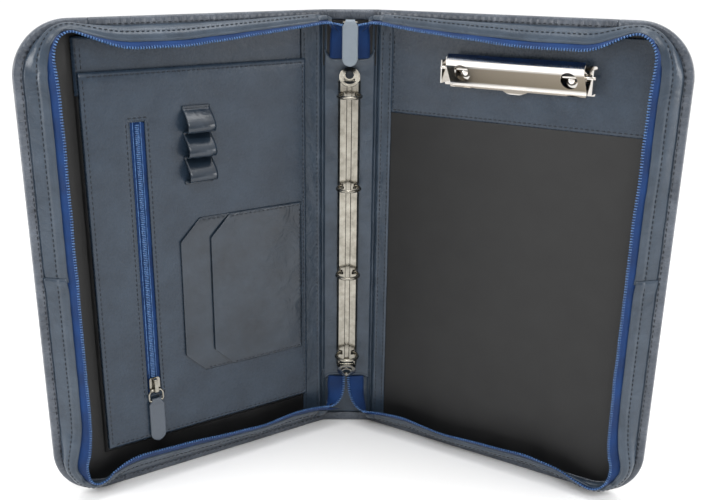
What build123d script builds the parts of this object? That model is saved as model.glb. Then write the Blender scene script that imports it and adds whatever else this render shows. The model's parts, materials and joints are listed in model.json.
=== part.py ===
from build123d import *

import os
from math import cos, radians, sin, sqrt

# Zip-round leather portfolio case, standing open on its lower edge like a book.
# Origin: middle of the footprint. +X right, +Y towards the spine, +Z up. Millimetres.
# On a cover, "along" is the distance from its fold line to its outer edge, and "depth" is
# the distance inwards from its outer face. On the spine, depth runs the same way, along -Y.

# Whole case
height = 384
cover_width = 256
spine_width = 46
open_angle = 32
corner_radius = 42

# Layers of the spine and covers, as depths from the outer face
skin = 1.2
board_back = 3.2
lining_face = 4.0
panel_face = 4.8
fold_gap = 5.2
spine_half = spine_width / 2 - 1.6

# Stitched binding round every outer edge
binding_width = 8
binding_wall = 0.8

# Leather gusset and zip round the three free sides of a cover
gusset_start = 24
gusset_foot = binding_width + 0.2
gusset_side, gusset_end, gusset_rim = 21, 17, 16
tape_side, tape_end, tape_rim = 28, 23, 21.4
coil_rim = 22.6

# Ring binder
ring_pitch = 80
first_ring = 74
ring_wire = 1.5
ring_radius = 9.8
ring_leg = 6.0
housing_half, housing_rise, housing_wall = 9.5, 5.0, 0.8
housing_low, housing_high = 57, 330
ring_centre = panel_face + housing_rise + sqrt(ring_radius**2 - ring_leg**2)
housing_middle = (housing_low + housing_high) / 2
ring_rivet_radius = 1.5
ring_rivet_spots = ((0, housing_middle - 100), (0, housing_middle + 100))

# Organiser leaf, as distances along the left cover and heights
leaf_inner, leaf_outer, leaf_low, leaf_high = 24, 213, 39, 346
leaf_back, leaf_board, leaf_pocket, leaf_skin, leaf_face = 8.6, 9.4, 10.4, 11.4, 12.6
slot_middle, slot_width, slot_low, slot_high = 171.5, 13, 79, 308

# Paper clip on the right cover
band_face, clip_sheet = 4.8, 1.0
clip_middle, clip_half = 128, 61
clip_plate_z = 339
clip_pin_z, clip_pin_depth, clip_pin_radius = 342, 11.5, 1.5
clip_rivet_radius = 2.0
clip_rivet_spots = ((clip_middle - 43, clip_plate_z), (clip_middle + 43, clip_plate_z))

# Zip sliders, rings and leather pulls
slider_half, slider_tall = 4.5, 13
arch_middle, arch_reach = 4.0, 3.85
pull_wire, pull_half, pull_drop = 0.8, 6.0, 10.0
pull_width, pull_thickness, pull_loop, pull_fit = 14, 2.4, 2.0, 0.06
pocket_chain = 12.0

# The covers' zips reach furthest forward, so they and the spine set the middle of the footprint.
slant = radians(open_angle)
front_reach = (cover_width - tape_side + 0.6) * sin(slant) + coil_rim * cos(slant)
spine_y = (front_reach - binding_wall) / 2

os.makedirs("parts", exist_ok=True)


def save(piece, name):
    """Label a finished piece and write it as a STEP file."""
    piece.part.label = name
    export_step(piece.part, f"parts/{name}.step")


def inwards(side):
    """Unit vector into the case from a cover's outer face; side is -1 for left, 1 for right."""
    return Vector(-side * sin(slant), -cos(slant), 0)


def on_cover(side, depth):
    """Plane parallel to a cover. Local X runs to the right, local Y is up, zero at the fold."""
    origin = Vector(side * spine_width / 2, spine_y, 0) + inwards(side) * depth
    return Plane(origin=origin, x_dir=(cos(slant), -side * sin(slant), 0), z_dir=inwards(side))


def across_cover(side, along):
    """Plane square to a cover's width. Local X is depth, local Y is up."""
    outwards = Vector(side * cos(slant), -sin(slant), 0)
    origin = Vector(side * spine_width / 2, spine_y, 0) + outwards * along
    return Plane(origin=origin, x_dir=inwards(side), z_dir=outwards * -side)


def on_spine(depth):
    """Plane parallel to the spine. Local X runs to the right, local Y is up."""
    return Plane(origin=(0, spine_y - depth, 0), x_dir=(1, 0, 0), z_dir=(0, -1, 0))


def panel(side, start, end, low, high):
    """A rectangle on a cover, between two distances along it and two heights."""
    with Locations((side * (start + end) / 2, (low + high) / 2)):
        return Rectangle(end - start, high - low)


def cover_face(side, start, inset_side, inset_end):
    """A cover's outline, inset from its outer edge and its ends, with the outer corners rounded."""
    radius = corner_radius - (inset_side + inset_end) / 2
    end = cover_width - inset_side
    with BuildSketch(mode=Mode.PRIVATE) as outline:
        panel(side, start, end, inset_end, height - inset_end)
        corners = outline.vertices().sort_by(Axis.X)
        fillet(corners[-2:] if side > 0 else corners[:2], radius)
    return outline.sketch


# ---------------------------------------------------------------- covers
for side, name in ((-1, "left"), (1, "right")):
    with BuildPart() as leather:
        with BuildSketch(on_cover(side, 0)):
            add(cover_face(side, 0.3, 1, 1))
        extrude(amount=skin)
    save(leather, f"{name}_leather")

    with BuildPart() as board:
        with BuildSketch(on_cover(side, skin)):
            add(cover_face(side, fold_gap, 1, 1))
            if side > 0:
                with Locations(*clip_rivet_spots):
                    Circle(clip_rivet_radius, mode=Mode.SUBTRACT)
        extrude(amount=board_back - skin)
    save(board, f"{name}_board")

    with BuildPart() as lining:
        with BuildSketch(on_cover(side, board_back)):
            add(cover_face(side, fold_gap, 1, 1))
            if side > 0:
                with Locations(*clip_rivet_spots):
                    Circle(clip_rivet_radius, mode=Mode.SUBTRACT)
        extrude(amount=lining_face - board_back)
    save(lining, f"{name}_lining")

    # The binding is a channel wrapped over the edge of the leather, board and lining.
    with BuildPart() as binding:
        with BuildSketch(on_cover(side, -binding_wall)):
            add(cover_face(side, fold_gap, 0, 0))
            add(cover_face(side, fold_gap - 1, binding_width, binding_width), mode=Mode.SUBTRACT)
        extrude(amount=lining_face + 2 * binding_wall)
        with BuildSketch(on_cover(side, 0)):
            add(cover_face(side, fold_gap - 1, 1, 1))
        extrude(amount=lining_face, mode=Mode.SUBTRACT)
    corner_end = cover_width - corner_radius - 14
    spans = {"side": (corner_end + 0.1, cover_width + 1, 0, height)}
    spans["top"] = (0, corner_end, height / 2, height)
    spans["bottom"] = (0, corner_end, 0, height / 2)
    for place, span in spans.items():
        with BuildPart() as strip:
            add(binding.part)
            with BuildSketch(on_cover(side, -5)):
                panel(side, *span)
            extrude(amount=15, mode=Mode.INTERSECT)
        save(strip, f"{name}_{place}_binding")

    # The gusset is a leaning wall in two lengths, seamed half way up the outer side.
    with BuildPart() as wall:
        for thickness, mode in ((0, Mode.ADD), (1.4, Mode.SUBTRACT)):
            start = gusset_start - 4 * thickness
            with BuildSketch(on_cover(side, lining_face)):
                add(cover_face(side, start, gusset_foot + thickness, gusset_foot + thickness))
            with BuildSketch(on_cover(side, gusset_rim)):
                add(cover_face(side, start, gusset_side + thickness, gusset_end + thickness))
            loft(mode=mode)
    for place, keep in (("upper", Keep.TOP), ("lower", Keep.BOTTOM)):
        with BuildPart() as gusset:
            add(wall.part)
            split(bisect_by=Plane.XY.offset(height / 2), keep=keep)
        save(gusset, f"{name}_{place}_gusset")

    with BuildPart() as tape:
        for thickness, mode in ((0, Mode.ADD), (1.0, Mode.SUBTRACT)):
            start = gusset_start - 4 * thickness
            with BuildSketch(on_cover(side, gusset_rim)):
                add(cover_face(side, start, gusset_side + thickness, gusset_end + thickness))
            with BuildSketch(on_cover(side, tape_rim)):
                add(cover_face(side, start, tape_side + thickness, tape_end + thickness))
            loft(mode=mode)
    save(tape, f"{name}_zip_tape")

    with BuildPart() as coil:
        with BuildSketch(on_cover(side, tape_rim)):
            add(cover_face(side, gusset_start, tape_side - 0.6, tape_end - 0.6))
            add(cover_face(side, 0, tape_side + 1.4, tape_end + 1.4), mode=Mode.SUBTRACT)
        extrude(amount=coil_rim - tape_rim)
    save(coil, f"{name}_zip_coil")

# ---------------------------------------------------------------- spine
with BuildPart() as spine_leather:
    with BuildSketch(on_spine(0)):
        with Locations((0, height / 2)):
            Rectangle(2 * spine_half, height - 2)
    extrude(amount=skin)
save(spine_leather, "spine_leather")

with BuildPart() as spine_board:
    with BuildSketch(on_spine(skin)):
        with Locations((0, height / 2)):
            Rectangle(2 * spine_half, height - 2)
        with Locations(*ring_rivet_spots):
            Circle(ring_rivet_radius, mode=Mode.SUBTRACT)
    extrude(amount=board_back - skin)
save(spine_board, "spine_board")

with BuildPart() as spine_lining:
    with BuildSketch(on_spine(board_back)):
        with Locations((0, height / 2)):
            Rectangle(2 * spine_half, height - 2)
        with Locations(*ring_rivet_spots):
            Circle(ring_rivet_radius, mode=Mode.SUBTRACT)
    extrude(amount=lining_face - board_back)
save(spine_lining, "spine_lining")

# The panel under the ring binder ends short of the case, and the zip's ends tuck under it.
panel_low, panel_high = 48, 344
with BuildPart() as ring_panel:
    with BuildSketch(on_spine(lining_face)):
        with Locations((0, (panel_low + panel_high) / 2)):
            Rectangle(2 * spine_half, panel_high - panel_low)
        with Locations(*ring_rivet_spots):
            Circle(ring_rivet_radius, mode=Mode.SUBTRACT)
    extrude(amount=panel_face - lining_face)
save(ring_panel, "ring_panel")

with BuildPart() as spine_bindings:
    with BuildSketch(on_spine(-binding_wall)):
        with Locations((0, binding_width / 2), (0, height - binding_width / 2)):
            Rectangle(2 * spine_half, binding_width)
    extrude(amount=lining_face + 2 * binding_wall)
    with BuildSketch(on_spine(0)):
        with Locations((0, height / 2)):
            Rectangle(2 * spine_half, height - 2)
    extrude(amount=lining_face, mode=Mode.SUBTRACT)
save(spine_bindings, "spine_bindings")

# Zip ends on the spine: two tapes, and at the top the joined chain that the slider rides on.
chain_depth, chain_thickness, chain_width = 11.5, 1.2, 3.0
with BuildPart() as zip_top:
    with BuildSketch(on_spine(chain_depth - 0.4)):
        with Locations((-12.3, 358), (12.3, 358)):
            Rectangle(9.4, 27)
    extrude(amount=0.8)
    with BuildSketch(on_spine(chain_depth - chain_thickness / 2)):
        with Locations((0, 358.5)):
            Rectangle(chain_width, 28)
    extrude(amount=chain_thickness)
save(zip_top, "zip_top_end")

with BuildPart() as zip_bottom:
    with BuildSketch(on_spine(6)):
        with Locations((-9.5, 31), (9.5, 31)):
            Rectangle(15, 28)
    extrude(amount=0.8)
save(zip_bottom, "zip_bottom_end")

# ---------------------------------------------------------------- ring binder
ring_heights = [first_ring + ring_pitch * step for step in range(4)]
blade_depth, blade_thickness, blade_outer = 5.3, 0.8, 7.6
lever_pin_depth, lever_pin_in, lever_pin_radius, lever_pin_half = 6.9, 4.0, 1.0, 9.0
lever_pin_spots = [(spine_y - lever_pin_depth, z) for z in (housing_low + lever_pin_in, housing_high - lever_pin_in)]


def housing_profile(shrink):
    """Half the housing's section, from its foot over the shoulder to the middle, shrunk evenly."""
    foot, top = housing_half - shrink, panel_face + housing_rise - shrink
    return [
        (foot, panel_face - shrink),
        (foot, panel_face + 2.2),
        (foot - 1.9, top - 0.5),
        (2.4, top),
        (1.8, top - 0.5),
        (0, top - 0.5),
    ]


def crescent(radius, thickness):
    """A crescent under the middle of a circle, cut from its foot by an equal circle raised up."""
    with BuildSketch(mode=Mode.PRIVATE) as moon:
        Circle(radius)
        with Locations((0, thickness)):
            Circle(radius, mode=Mode.SUBTRACT)
        with Locations((0, -radius)):
            Rectangle(1.6 * radius, 2 * radius, mode=Mode.INTERSECT)
    return moon.sketch


with BuildPart() as housing:
    for shrink, mode in ((0, Mode.ADD), (housing_wall, Mode.SUBTRACT)):
        with BuildSketch(Plane.XY.offset(housing_low)):
            with BuildLine():
                half = [(x, spine_y - depth) for x, depth in housing_profile(shrink)]
                Polyline(*half, *[(-x, y) for x, y in half[-2::-1]], close=True)
            make_face()
        extrude(amount=housing_high - housing_low, mode=mode)
    with BuildSketch(on_spine(panel_face)):
        with Locations((0, housing_middle)):
            RectangleRounded(2 * housing_half, housing_high - housing_low, 5)
    extrude(amount=housing_rise + 1, mode=Mode.INTERSECT)
    with BuildSketch(on_spine(panel_face)):
        with Locations(*[(x, z) for z in ring_heights for x in (-ring_leg - 0.4, ring_leg + 0.4)]):
            Rectangle(5.2, 4.6)
    extrude(amount=housing_rise + 1, mode=Mode.SUBTRACT)
    with BuildSketch(on_spine(panel_face)):
        with Locations((0, housing_low), (0, housing_high)):
            Rectangle(12.6, 14)
    extrude(amount=housing_rise + 1, mode=Mode.SUBTRACT)
    with BuildSketch(Plane.YZ.offset(-lever_pin_half)):
        with Locations(*lever_pin_spots):
            Circle(lever_pin_radius)
    extrude(amount=2 * lever_pin_half, mode=Mode.SUBTRACT)
save(housing, "ring_housing")

with BuildPart() as rivets:
    with BuildSketch(on_spine(skin)):
        with Locations(*ring_rivet_spots):
            Circle(ring_rivet_radius)
    extrude(amount=panel_face + housing_rise - 0.5 - housing_wall - skin)
save(rivets, "ring_rivets")

for side, name in ((-1, "left"), (1, "right")):
    with BuildPart() as blade:
        with BuildSketch(on_spine(blade_depth - blade_thickness / 2)):
            with Locations((side * (blade_outer + 0.2) / 2, housing_middle)):
                Rectangle(blade_outer - 0.2, housing_high - housing_low - 26)
            with Locations(*ring_rivet_spots):
                Circle(ring_rivet_radius + 0.9, mode=Mode.SUBTRACT)
        extrude(amount=blade_thickness)
    save(blade, f"{name}_ring_blade")

    # Each half ring is a leg on the blade and an arc that meets its twin at the front.
    leg_turn = ring_centre - panel_face - housing_rise
    with BuildPart() as half_rings:
        for z in ring_heights:
            with BuildLine(Plane.XY.offset(z)):
                leg_end = (side * ring_leg, spine_y - ring_centre + leg_turn)
                outer = (side * ring_radius, spine_y - ring_centre)
                tip = (side * 0.2, spine_y - ring_centre - ring_radius)
                arc = ThreePointArc(leg_end, outer, tip)
            with BuildSketch(Plane(origin=arc @ 0, z_dir=arc % 0)):
                Circle(ring_wire)
            sweep(path=arc)
            with BuildSketch(Plane(origin=(side * ring_leg, leg_end[1], z), z_dir=(0, 1, 0))):
                Circle(ring_wire)
            extrude(amount=ring_centre - leg_turn - blade_depth - blade_thickness / 2)
            with Locations((side * ring_leg, leg_end[1], z)):
                Sphere(ring_wire)
    save(half_rings, f"{name}_half_rings")

# A lever at each end of the housing: a round plate with a finger hole, tilted back to the spine.
lever_tilt = radians(30)
lever_radius, lever_rim, lever_sheet = 8.8, 2.4, 1.2
for up, place, end in ((1, "top", housing_high), (-1, "bottom", housing_low)):
    pin_z = end - up * lever_pin_in
    plate = Plane(
        origin=(0, spine_y - 12.6, end - up * 0.8),
        x_dir=(up, 0, 0),
        z_dir=(0, -cos(lever_tilt), up * sin(lever_tilt)),
    )
    with BuildPart() as lever:
        with BuildSketch(plate):
            Circle(lever_radius)
            with Locations((0, 1.8)):
                Circle(3.6, mode=Mode.SUBTRACT)
            add(crescent(lever_radius - lever_rim, 3.4), mode=Mode.SUBTRACT)
        extrude(amount=lever_sheet)
        for x in (-5.6, 4.6):
            with BuildSketch(Plane.YZ.offset(x)):
                with Locations((spine_y - lever_pin_depth, pin_z)):
                    Circle(1.8)
                with BuildLine():
                    Polyline(
                        (spine_y - 5.9, pin_z + up * 1.5),
                        (spine_y - 12.4, end + up * 0.2),
                        (spine_y - 14.4, end - up * 3.4),
                        (spine_y - 7.4, pin_z - up * 1.7),
                        close=True,
                    )
                make_face()
            extrude(amount=1.0)
        with BuildSketch(Plane.YZ.offset(-8)):
            with Locations((spine_y - lever_pin_depth, pin_z)):
                Circle(lever_pin_radius + pull_fit)
        extrude(amount=16, mode=Mode.SUBTRACT)
    save(lever, f"{place}_lever")

with BuildPart() as lever_pins:
    with BuildSketch(Plane.YZ.offset(-lever_pin_half)):
        with Locations(*lever_pin_spots):
            Circle(lever_pin_radius)
    extrude(amount=2 * lever_pin_half)
save(lever_pins, "lever_pins")


# ---------------------------------------------------------------- zip sliders and leather pulls
def build_slider(plane, twin_plate):
    """A slider centred on its chain: plates, side walls and an arch that holds the pull ring."""
    with BuildPart() as slider:
        with BuildSketch(plane.offset(1.1)):
            RectangleRounded(2 * slider_half, slider_tall, 2)
        extrude(amount=1.3)
        if twin_plate:
            with BuildSketch(plane.offset(-2.4)):
                RectangleRounded(2 * slider_half, slider_tall, 2)
            extrude(amount=1.3)
        with BuildSketch(plane.offset(-1.2 if twin_plate else -0.6)):
            with Locations((-3.4, 0), (3.4, 0)):
                Rectangle(1.4, slider_tall - 4)
        extrude(amount=2.4 if twin_plate else 1.8)
        with BuildSketch(Plane(origin=plane.origin, x_dir=plane.z_dir, z_dir=-plane.x_dir)):
            with Locations((4.3, 0)):
                RectangleRounded(4.8, slider_tall - 1, 1.4)
            with Locations((4.0, 0)):
                RectangleRounded(2.6, slider_tall - 3.4, 0.8, mode=Mode.SUBTRACT)
        extrude(amount=1.4, both=True)
    return slider


def build_ring(plane, crown):
    """A pull ring hanging from its pivot at the plane's origin, crown being its top radius."""
    with BuildPart() as ring:
        with BuildLine(plane):
            path = FilletPolyline(
                (pull_half, 0),
                (pull_half, -pull_drop),
                (-pull_half, -pull_drop),
                (-pull_half, 0),
                radius=[crown, 2.0, 2.0, crown],
                close=True,
            )
        with BuildSketch(Plane(origin=path @ 0, z_dir=path % 0)):
            Circle(pull_wire)
        sweep(path=path)
    return ring


def build_pull(plane, length):
    """A folded leather pull on a ring's bar at the plane's origin, with a rounded end."""
    side_view = Plane(origin=plane.origin, x_dir=plane.z_dir, z_dir=-plane.x_dir)
    with BuildPart() as pull:
        with BuildSketch(side_view):
            Circle(pull_loop)
            with Locations((0, -length / 2)):
                Rectangle(pull_thickness, length)
            Circle(pull_wire + pull_fit, mode=Mode.SUBTRACT)
        extrude(amount=pull_width / 2, both=True)
        with BuildSketch(plane.offset(-5)) as outline:
            with Locations((0, -(length + 2.4) / 2)):
                Rectangle(pull_width, length - 2.4)
            fillet(outline.vertices().group_by(Axis.Y)[0], 5.5)
            Rectangle(2 * pull_half - 4.2, 6)
        extrude(amount=10, mode=Mode.INTERSECT)
    return pull


def spot(plane, x, y):
    """The same plane with its origin moved to a point on it."""
    return Plane(origin=plane.from_local_coords((x, y, 0)), x_dir=plane.x_dir, z_dir=plane.z_dir)


# The pocket's slider hangs its ring and pull straight down.
pocket_slider_z = 88
slider_plane = spot(on_cover(-1, pocket_chain), -slot_middle, pocket_slider_z)
save(build_slider(slider_plane, twin_plate=False), "pocket_slider")
ring_plane = spot(slider_plane.offset(arch_middle), 0, -arch_reach)
save(build_ring(ring_plane, crown=4.4), "pocket_pull_ring")
save(build_pull(spot(ring_plane, 0, -pull_drop), pocket_slider_z - arch_reach - pull_drop - 37), "pocket_pull")

# The main slider faces the spine. Its ring lies over the top of the zip, and its pull hangs in front.
main_slider_z = 367
main_plane = Plane(origin=(0, spine_y - chain_depth, main_slider_z), x_dir=(-1, 0, 0), z_dir=(0, 1, 0))
save(build_slider(main_plane, twin_plate=True), "main_slider")
ring_rise = radians(22)
main_ring_plane = Plane(
    origin=(0, spine_y - chain_depth + arch_middle, main_slider_z + arch_reach),
    x_dir=(1, 0, 0),
    z_dir=(0, sin(ring_rise), cos(ring_rise)),
)
save(build_ring(main_ring_plane, crown=2.0), "main_pull_ring")
main_bar = main_ring_plane.from_local_coords((0, -pull_drop, 0))
save(build_pull(Plane(origin=main_bar, x_dir=(1, 0, 0), z_dir=(0, -1, 0)), 36), "main_pull")

# ---------------------------------------------------------------- left cover
with BuildPart() as hinge_strip:
    with BuildSketch(on_cover(-1, lining_face)):
        panel(-1, fold_gap, leaf_inner - 0.4, 12, 372)
    extrude(amount=1.0)
    with BuildSketch(on_cover(-1, lining_face + 1)):
        panel(-1, leaf_inner - 1.6, leaf_inner - 0.4, leaf_low, leaf_high)
    extrude(amount=leaf_skin - lining_face - 0.6)
save(hinge_strip, "left_hinge_strip")

# The document pocket is a flat front, sewn down on three sides and open at the top.
pocket_start, pocket_end, pocket_low, pocket_high = 26, 215, 33, 363
with BuildPart() as document_pocket:
    with BuildSketch(on_cover(-1, lining_face)):
        panel(-1, pocket_start, pocket_end, pocket_low, pocket_high)
    extrude(amount=3.0)
    with BuildSketch(on_cover(-1, lining_face)):
        panel(-1, pocket_start + 2, pocket_end - 2, pocket_low + 2, pocket_high + 1)
    extrude(amount=2.0, mode=Mode.SUBTRACT)
save(document_pocket, "document_pocket")

with BuildPart() as pocket_trim:
    with BuildSketch(on_cover(-1, lining_face + 3)):
        panel(-1, pocket_start, pocket_end, pocket_high - 34, pocket_high)
    extrude(amount=1.0)
save(pocket_trim, "document_pocket_trim")

# ---------------------------------------------------------------- organiser leaf
with BuildPart() as leaf_rear:
    with BuildSketch(on_cover(-1, leaf_back)):
        panel(-1, leaf_inner, leaf_outer, leaf_low, leaf_high)
    extrude(amount=leaf_board - leaf_back)
save(leaf_rear, "leaf_back")

with BuildPart() as leaf_stiffener:
    with BuildSketch(on_cover(-1, leaf_board)):
        panel(-1, leaf_inner, leaf_outer, leaf_low, leaf_high)
    extrude(amount=leaf_pocket - leaf_board)
save(leaf_stiffener, "leaf_board")

# The leaf's front stands off the board by its turned edge, which leaves the zip pocket.
with BuildPart() as leaf_front:
    with BuildSketch(on_cover(-1, leaf_pocket)):
        panel(-1, leaf_inner, leaf_outer, leaf_low, leaf_high)
    extrude(amount=leaf_face - leaf_pocket)
    with BuildSketch(on_cover(-1, leaf_pocket)):
        panel(-1, leaf_inner + 6, leaf_outer - 6, leaf_low + 6, leaf_high - 6)
    extrude(amount=leaf_skin - leaf_pocket, mode=Mode.SUBTRACT)
    with BuildSketch(on_cover(-1, leaf_pocket)):
        panel(-1, slot_middle - slot_width / 2, slot_middle + slot_width / 2, slot_low, slot_high)
    extrude(amount=leaf_face, mode=Mode.SUBTRACT)
save(leaf_front, "leaf_front")

with BuildPart() as pocket_tape:
    with BuildSketch(on_cover(-1, leaf_pocket + 0.1)):
        panel(-1, slot_middle - 12, slot_middle + 12, slot_low - 6, slot_high + 6)
    extrude(amount=0.7)
save(pocket_tape, "pocket_zip_tape")

with BuildPart() as pocket_coil:
    with BuildSketch(on_cover(-1, leaf_pocket + 0.8)):
        panel(-1, slot_middle - 1.5, slot_middle + 1.5, slot_low + 2, slot_high - 1)
    extrude(amount=1.6)
save(pocket_coil, "pocket_zip_coil")

# Two card pockets overlap, with the corners of their open outer edges cut off.
card_low, card_high, card_inner, card_cut = 89, 225, 30, 18
for name, along, depth in (("card_pocket_back", 142, 0), ("card_pocket_front", 116, 1.2)):
    with BuildPart() as card_pocket:
        with BuildSketch(on_cover(-1, leaf_face + depth)):
            with BuildLine():
                Polyline(
                    (-card_inner, card_low),
                    (-along + card_cut, card_low),
                    (-along, card_low + card_cut),
                    (-along, card_high - card_cut),
                    (-along + card_cut, card_high),
                    (-card_inner, card_high),
                    close=True,
                )
            make_face()
        extrude(amount=1.2)
    save(card_pocket, name)

# A strip of leather is sewn down in four places and stands out between them as three pen loops.
loop_top, loop_pitch, loop_wall, loop_along, loop_width = 313, 19.5, 1.2, 123.5, 23


def loop_section(top, wall):
    """One pen loop's section, from the leaf's face outwards; wall is how far it is drawn in."""
    reach = leaf_face + 12.5 - wall
    return [
        (leaf_face, top - 1.4 * wall),
        (reach - 2.5, top - 9.0 - 1.2 * wall),
        (reach, top - 12.0),
        (reach, top - 16.0 + wall),
        (reach - 2.0, top - 17.5 + wall),
        (leaf_face, top - 16.5 + wall),
    ]


with BuildPart() as pen_loops:
    with BuildSketch(across_cover(-1, loop_along)):
        with Locations((leaf_face + loop_wall / 2, loop_top - 1.5 * loop_pitch)):
            Rectangle(loop_wall, 3 * loop_pitch + 6)
        for wall, mode in ((0, Mode.ADD), (loop_wall, Mode.SUBTRACT)):
            for step in range(3):
                with BuildLine():
                    Polyline(*loop_section(loop_top - step * loop_pitch, wall), close=True)
                make_face(mode=mode)
    extrude(amount=loop_width / 2, both=True)
save(pen_loops, "pen_loops")

# ---------------------------------------------------------------- right cover
with BuildPart() as right_strip:
    with BuildSketch(on_cover(1, lining_face)):
        panel(1, fold_gap, 14, 12, 372)
    extrude(amount=1.0)
save(right_strip, "right_hinge_strip")

with BuildPart() as clip_band:
    with BuildSketch(on_cover(1, lining_face)):
        add(cover_face(1, 14.2, 12, 12))
        with Locations((cover_width / 2, 150)):
            Rectangle(cover_width, 300, mode=Mode.SUBTRACT)
        with Locations(*clip_rivet_spots):
            Circle(clip_rivet_radius, mode=Mode.SUBTRACT)
    extrude(amount=band_face - lining_face)
save(clip_band, "clip_band")

# The clip's base is a plate with an ear turned up at each end for the pin.
with BuildPart() as clip_base:
    with BuildSketch(on_cover(1, band_face)):
        with Locations((clip_middle, clip_plate_z)):
            RectangleRounded(2 * clip_half, 22, 1)
        with Locations(*clip_rivet_spots):
            Circle(clip_rivet_radius, mode=Mode.SUBTRACT)
    extrude(amount=clip_sheet)
    for end in (-1, 1):
        ear = clip_middle + end * (clip_half - clip_sheet / 2)
        with BuildSketch(across_cover(1, ear)):
            with Locations((band_face + 5, clip_plate_z)):
                Rectangle(10, 18)
            with Locations((clip_pin_depth, clip_pin_z)):
                Circle(3.4)
                Circle(clip_pin_radius, mode=Mode.SUBTRACT)
        extrude(amount=clip_sheet / 2, both=True)
save(clip_base, "clip_base")

with BuildPart() as clip_rivets:
    with BuildSketch(on_cover(1, skin)):
        with Locations(*clip_rivet_spots):
            Circle(clip_rivet_radius)
    extrude(amount=band_face + clip_sheet - skin)
    with BuildSketch(on_cover(1, band_face + clip_sheet)):
        with Locations(*clip_rivet_spots):
            Circle(4.2)
    extrude(amount=3.2)
    rims = clip_rivets.edges().filter_by(GeomType.CIRCLE).filter_by(lambda edge: edge.radius > 4)
    fillet(rims.sort_by(Axis(spot(on_cover(1, 0), 0, 0).origin, inwards(1)))[-2:], 3.0)
save(clip_rivets, "clip_rivets")

with BuildPart() as clip_pin:
    with BuildSketch(across_cover(1, clip_middle)):
        with Locations((clip_pin_depth, clip_pin_z)):
            Circle(clip_pin_radius)
    extrude(amount=clip_half + 1.2, both=True)
save(clip_pin, "clip_pin")

# A spring is coiled on the pin. One end stands up behind the jaw and the other bears on the base.
spring_radius, spring_wire, spring_turns, spring_pitch = 2.2, 0.4, 9.25, 1.2
spring_length = spring_turns * spring_pitch
spring_plane = spot(across_cover(1, clip_middle + spring_length / 2), clip_pin_depth, clip_pin_z)
coil_line = spring_plane.location * Helix(spring_pitch, spring_length, spring_radius, lefthand=True)
with BuildPart() as clip_spring:
    with BuildSketch(Plane(origin=coil_line @ 0, z_dir=coil_line % 0)):
        Circle(spring_wire)
    sweep(path=coil_line, is_frenet=True)
    with BuildSketch(Plane(origin=coil_line @ 0, z_dir=(0, 0, 1))):
        Circle(spring_wire)
    extrude(amount=3.6)
    with BuildSketch(Plane(origin=coil_line @ 1, z_dir=inwards(1) * -1)):
        Circle(spring_wire)
    extrude(amount=5.2)
save(clip_spring, "clip_spring")

# The jaw is one folded strip: a thumb flange, a plate leaning in to the bite, and a flared lip.
jaw_low, jaw_high = clip_middle - 55, clip_middle + 55
with BuildPart() as clip_jaw:
    with BuildSketch(across_cover(1, clip_middle)):
        with BuildLine():
            fold = Polyline((14.4, 353), (18.4, 348.5), (17.8, 345), (8.0, 330.4), (7.0, 328.4), (9.6, 325.2))
            offset(fold, amount=clip_sheet / 2)
        make_face()
    extrude(amount=(jaw_high - jaw_low) / 2, both=True)
    with BuildSketch(on_cover(1, 0)):
        panel(1, jaw_low, jaw_high, 327, 356)
        with Locations((clip_middle, 339)):
            Ellipse(18, 14.5)
        with Locations(*clip_rivet_spots):
            Circle(6.5, mode=Mode.SUBTRACT)
    extrude(amount=25, mode=Mode.INTERSECT)
    for end in (jaw_low + 0.6, jaw_high - 0.6):
        with BuildSketch(across_cover(1, end)):
            with Locations((clip_pin_depth, clip_pin_z)):
                Circle(3.0)
            with BuildLine():
                Polyline((9.4, 339.8), (14.6, 341), (17.8, 345.4), (18, 348), (11.5, 345.0), close=True)
            make_face()
            with Locations((clip_pin_depth, clip_pin_z)):
                Circle(clip_pin_radius + pull_fit, mode=Mode.SUBTRACT)
        extrude(amount=0.6, both=True)
save(clip_jaw, "clip_jaw")
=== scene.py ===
import json
import math
import random

import bmesh
import bpy
import numpy as np
from mathutils import Matrix, Vector, noise


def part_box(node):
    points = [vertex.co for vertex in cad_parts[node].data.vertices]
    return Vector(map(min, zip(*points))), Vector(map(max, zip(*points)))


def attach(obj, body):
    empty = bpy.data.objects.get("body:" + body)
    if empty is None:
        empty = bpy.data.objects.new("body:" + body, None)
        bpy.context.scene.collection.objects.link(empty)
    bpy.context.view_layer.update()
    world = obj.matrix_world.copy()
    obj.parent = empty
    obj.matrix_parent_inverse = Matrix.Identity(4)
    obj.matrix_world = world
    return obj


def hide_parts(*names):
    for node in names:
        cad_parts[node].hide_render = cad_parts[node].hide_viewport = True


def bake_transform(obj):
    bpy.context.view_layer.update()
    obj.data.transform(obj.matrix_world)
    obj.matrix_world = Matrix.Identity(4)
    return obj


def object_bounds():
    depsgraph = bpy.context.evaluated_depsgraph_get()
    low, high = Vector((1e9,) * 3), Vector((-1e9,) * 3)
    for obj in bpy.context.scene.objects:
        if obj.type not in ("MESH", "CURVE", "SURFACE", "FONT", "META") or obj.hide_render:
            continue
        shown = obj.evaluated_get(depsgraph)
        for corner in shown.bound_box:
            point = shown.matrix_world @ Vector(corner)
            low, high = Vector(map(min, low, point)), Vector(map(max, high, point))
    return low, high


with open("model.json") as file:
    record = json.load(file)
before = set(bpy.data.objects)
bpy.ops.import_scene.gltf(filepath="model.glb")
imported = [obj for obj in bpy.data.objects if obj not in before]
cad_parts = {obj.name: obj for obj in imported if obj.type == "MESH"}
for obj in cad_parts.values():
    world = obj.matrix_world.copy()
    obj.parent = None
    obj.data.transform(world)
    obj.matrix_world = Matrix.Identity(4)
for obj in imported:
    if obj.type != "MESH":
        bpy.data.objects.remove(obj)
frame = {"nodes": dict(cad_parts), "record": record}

cad_bounds = [list(corner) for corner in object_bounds()]

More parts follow.
